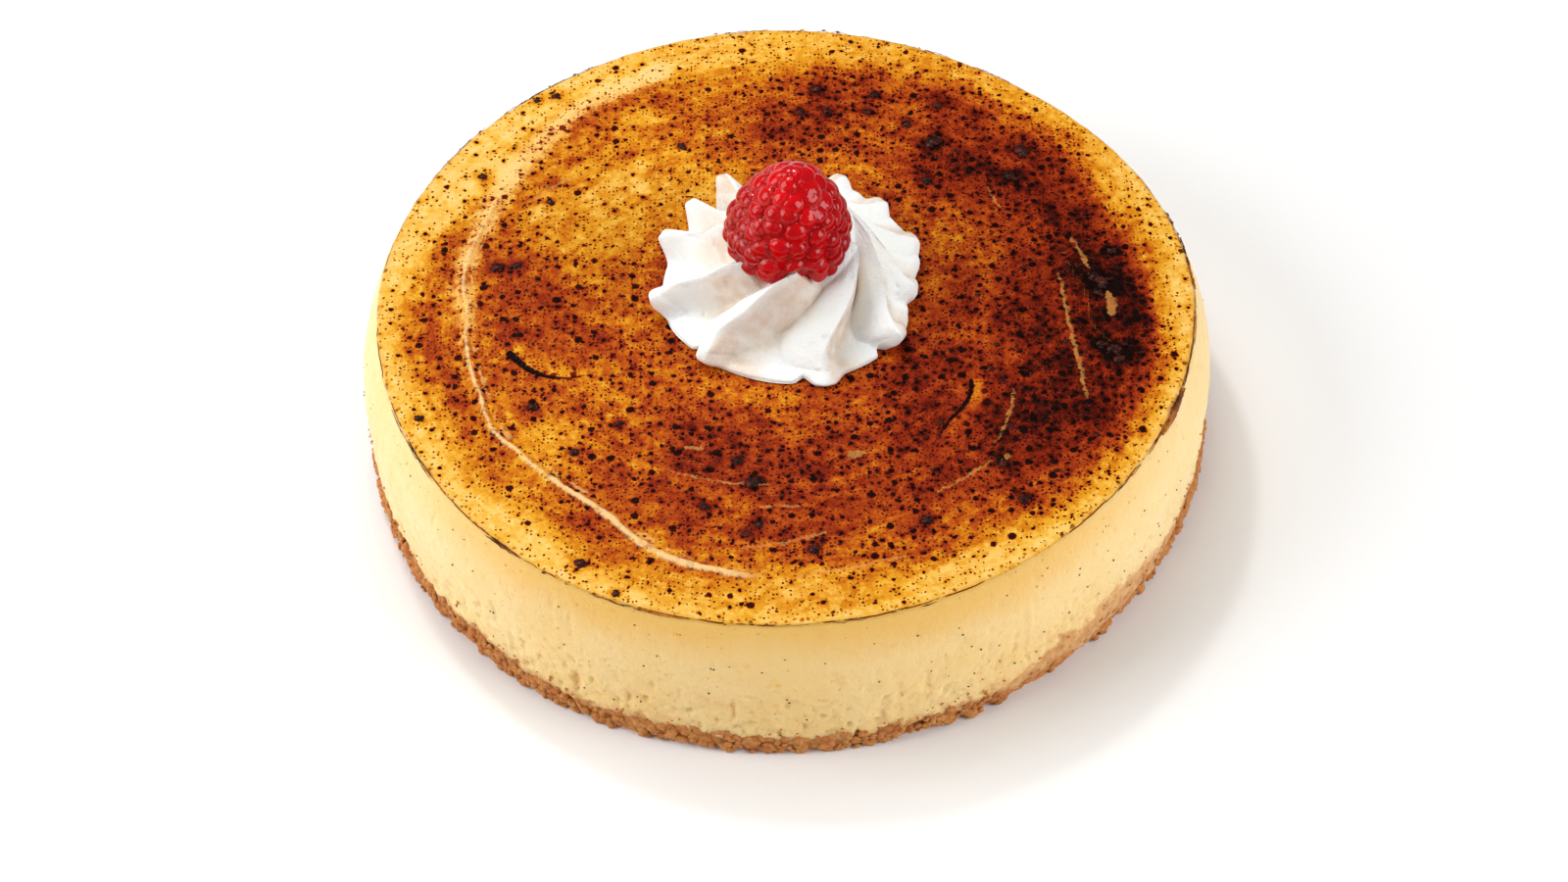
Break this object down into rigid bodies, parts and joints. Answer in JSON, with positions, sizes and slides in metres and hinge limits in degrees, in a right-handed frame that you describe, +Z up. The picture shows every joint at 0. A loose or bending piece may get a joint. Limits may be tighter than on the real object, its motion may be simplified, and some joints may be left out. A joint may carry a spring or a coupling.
{
  "type": "creme brulee cheesecake",
  "caption": "Round whole cheesecake on a crumb crust, its top torched brown like creme brulee, with a whipped cream star and a raspberry in the middle.",
  "frame": {"origin": "under the middle of the cake's outline, on the surface it stands on", "axes": "+Z up through the cake, -Y to the front, +X to the right as seen from the front"},
  "size_m": [0.1528, 0.1534, 0.0621],
  "materials": {
    "crumb_crust": "pressed biscuit crumb, dry and grainy, golden brown",
    "baked_custard": "baked cream cheese custard, pale cream and satin, its top torched to amber, red brown and black specks",
    "whipped_cream": "piped whipped cream, soft satin white with fine pores",
    "raspberry": "fresh raspberry, glossy translucent drupelets"
  },
  "bodies": {
    "root": {"crust_base": "crumb_crust", "cheesecake": "baked_custard", "cream_rosette": "whipped_cream", "raspberry": "raspberry"}
  },
  "joints": []
}
